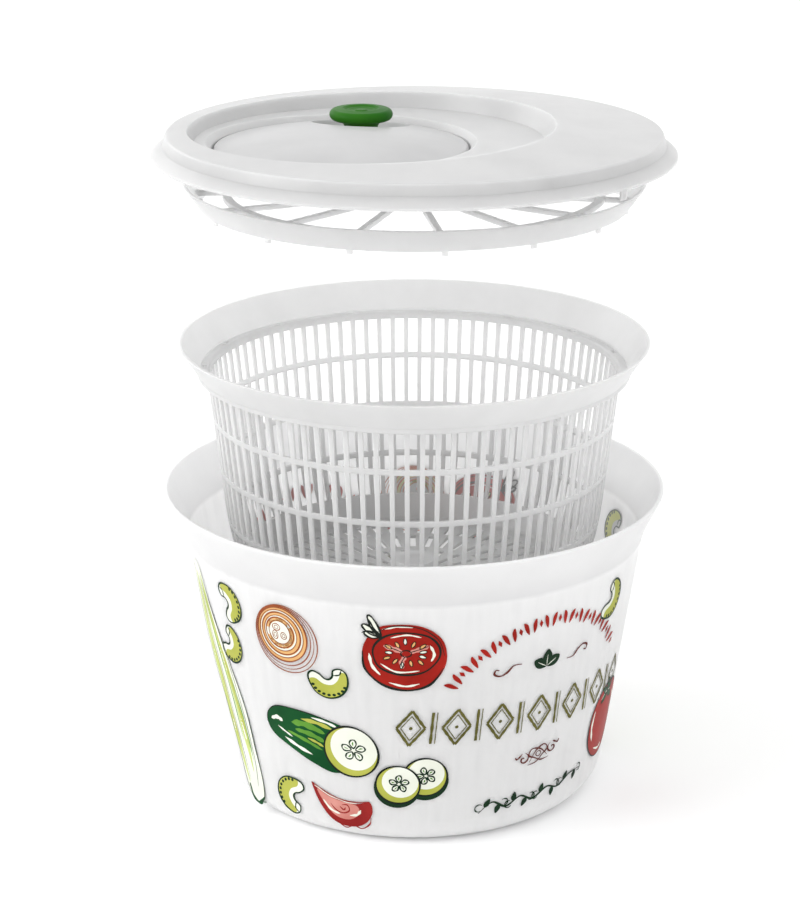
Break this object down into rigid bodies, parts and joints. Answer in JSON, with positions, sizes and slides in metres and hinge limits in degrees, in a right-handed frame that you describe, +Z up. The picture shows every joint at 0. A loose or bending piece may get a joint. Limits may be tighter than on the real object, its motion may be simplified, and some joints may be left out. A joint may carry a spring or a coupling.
{
  "type": "salad spinner",
  "caption": "Round salad spinner shown apart: frosted bowl, slatted basket half lifted out, and a lid above with a geared dial, a green turning knob and a spoked driver underneath.",
  "frame": {"origin": "centre of the bowl's base, at the surface it stands on", "axes": "+Z up along the axis of the bowl, basket and lid; -Y towards the front; +X to the right seen from the front"},
  "size_m": [0.2596, 0.2596, 0.3469],
  "materials": {
    "bowl_plastic": "frosted translucent",
    "lid_plastic": "satin translucent",
    "basket_plastic": "satin",
    "dial_plastic": "satin",
    "knob_plastic": "gloss",
    "gear_plastic": "moulded",
    "bush_plastic": "moulded",
    "steel": "bright zinc"
  },
  "bodies": {
    "bowl": {"bowl": "bowl_plastic"},
    "bush": {"pivot_bush": "bush_plastic"},
    "basket": {"basket": "basket_plastic"},
    "lid": {"lid_cover": "lid_plastic", "driver_bush": "bush_plastic", "dial_bush": "bush_plastic"},
    "dial": {"dial": "dial_plastic", "ring_gear": "gear_plastic", "gear_screws": "steel", "dial_washer": "steel", "dial_screw": "steel", "knob_washer": "steel", "knob_screw": "steel"},
    "knob": {"knob": "knob_plastic", "knob_cap": "knob_plastic"},
    "driver": {"driver_spider": "basket_plastic", "drive_shaft": "steel", "pinion": "gear_plastic", "pinion_screw": "steel", "thrust_washer": "bush_plastic", "hub_screw": "steel"}
  },
  "joints": [
    {"name": "basket_lift", "type": "slide", "parent": "bowl", "child": "bush", "axis": [0, 0, 1], "range_m": [-0.087, 0.06]},
    {"name": "basket_spin", "type": "hinge", "parent": "bush", "child": "basket", "pos_m": [0, 0, 0.2], "axis": [0, 0, 1], "continuous": true},
    {"name": "lid_lift", "type": "slide", "parent": "bush", "child": "lid", "axis": [0, 0, 1], "range_m": [-0.0843, 0.04]},
    {"name": "driver_spin", "type": "hinge", "parent": "lid", "child": "driver", "pos_m": [0, 0, 0.31], "axis": [0, 0, 1], "continuous": true},
    {"name": "dial_spin", "type": "hinge", "parent": "lid", "child": "dial", "pos_m": [-0.036, 0, 0.34], "axis": [0, 0, 1], "continuous": true},
    {"name": "knob_spin", "type": "hinge", "parent": "dial", "child": "knob", "pos_m": [-0.0266, 0.0326, 0.34], "axis": [0, 0, 1], "continuous": true}
  ],
  "couplings": [
    {"joint": "driver_spin", "follows": "basket_spin", "ratio": 1},
    {"joint": "dial_spin", "follows": "basket_spin", "ratio": 0.25}
  ]
}
